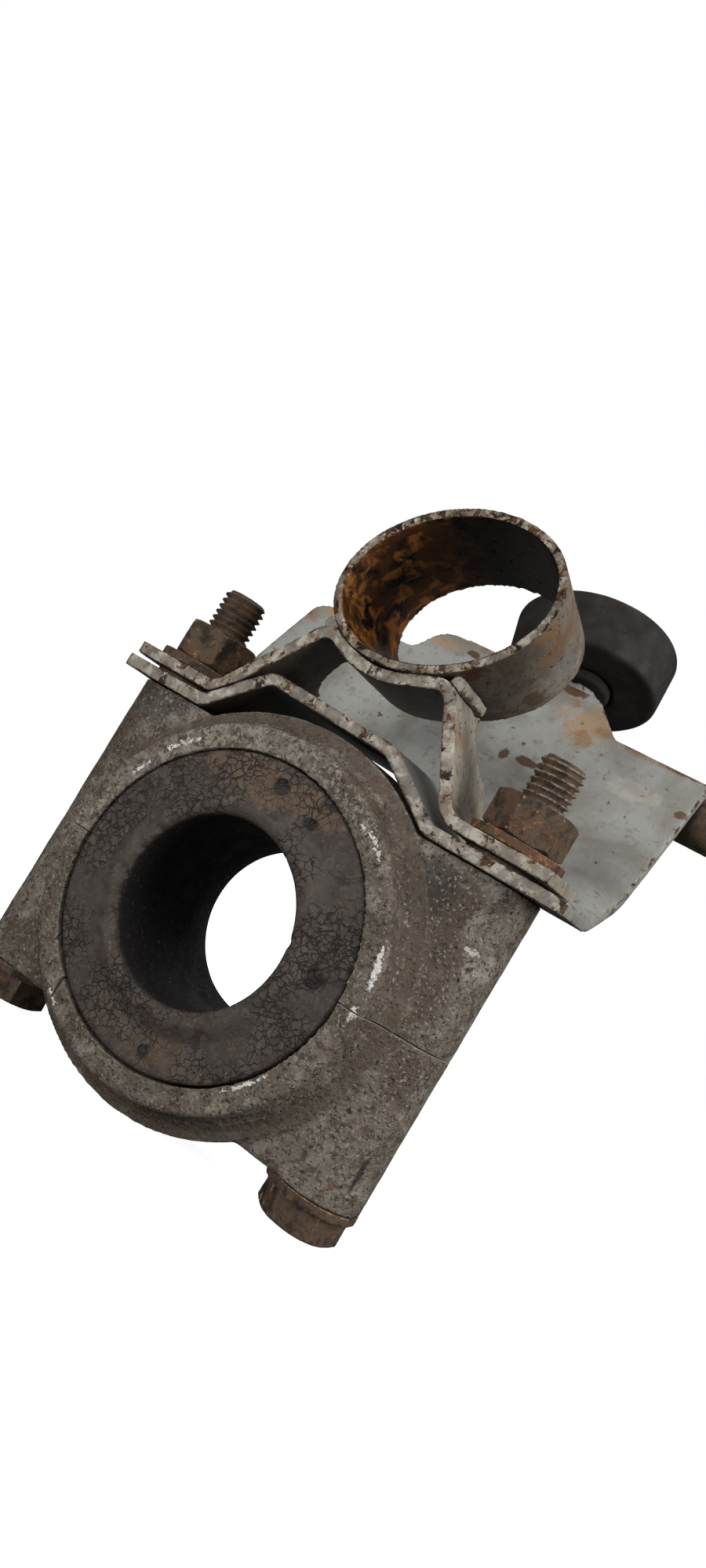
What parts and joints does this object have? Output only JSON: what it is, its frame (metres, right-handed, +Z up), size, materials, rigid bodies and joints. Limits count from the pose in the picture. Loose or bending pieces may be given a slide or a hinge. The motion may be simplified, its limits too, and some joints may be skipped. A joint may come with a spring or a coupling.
{
  "type": "split bar clamp",
  "caption": "Cast clamp closed on a rubber-bushed bar by long bolts, with a pressed bracket, a saddle strap carrying a welded oval ring, and a rubber buffer.",
  "frame": {"origin": "centre line of the bush's bar hole, at the front rim plane of the cast housing", "axes": "+X from the left bolt to the right bolt, +Y along the bar to the rear, +Z up along the bolts"},
  "size_m": [0.1457, 0.1293, 0.1856],
  "materials": {
    "cast_alloy": "weathered casting",
    "bush_rubber": "aged, finely cracked",
    "buffer_rubber": "matt",
    "bolt_steel": "dull plated, rusting",
    "nut_steel": "rusty",
    "bracket_paint": "light grey paint, rust stained",
    "strap_paint": "mid grey paint, chipped",
    "weld_steel": "rusty",
    "small_steel": "dull plated"
  },
  "bodies": {
    "upper_clamp": {"upper_housing": "cast_alloy", "rubber_bush": "bush_rubber", "bracket": "bracket_paint", "saddle_strap": "strap_paint", "tube_ring": "strap_paint", "ring_weld_left": "weld_steel", "ring_weld_right": "weld_steel", "nut_washer_left": "nut_steel", "nut_washer_right": "nut_steel", "rear_peg": "weld_steel", "rear_peg_weld": "weld_steel", "strap_spacer_left": "nut_steel", "strap_spacer_right": "nut_steel"},
    "lower_clamp": {"lower_housing": "cast_alloy", "bolt_left": "bolt_steel", "bolt_right": "bolt_steel", "head_washer_left": "bolt_steel", "head_washer_right": "bolt_steel"},
    "left_nut": {"nut_left": "nut_steel"},
    "right_nut": {"nut_right": "nut_steel"},
    "buffer": {"buffer_rubber": "buffer_rubber", "buffer_boss": "small_steel", "buffer_stud": "small_steel", "buffer_washer": "small_steel", "buffer_nut": "small_steel"}
  },
  "joints": [
    {"name": "clamp_opening", "type": "slide", "parent": "upper_clamp", "child": "lower_clamp", "axis": [0, 0, -1], "range_m": [0, 0.01]},
    {"name": "left_nut_turn", "type": "hinge", "parent": "upper_clamp", "child": "left_nut", "pos_m": [-0.0505, 0.0221, 0.05662], "axis": [0, 0, 1], "range_deg": [0, 2058]},
    {"name": "right_nut_turn", "type": "hinge", "parent": "upper_clamp", "child": "right_nut", "pos_m": [0.0505, 0.0221, 0.05662], "axis": [0, 0, 1], "range_deg": [0, 2058]},
    {"name": "buffer_turn", "type": "hinge", "parent": "upper_clamp", "child": "buffer", "pos_m": [0.01754, 0.09804, 0.10798], "axis": [-0.2298, 0.2897, 0.9291], "continuous": true}
  ],
  "couplings": [
    {"joint": "left_nut_turn", "follows": "clamp_opening", "rad_per_m": 3590.4},
    {"joint": "right_nut_turn", "follows": "clamp_opening", "rad_per_m": 3590.4}
  ]
}
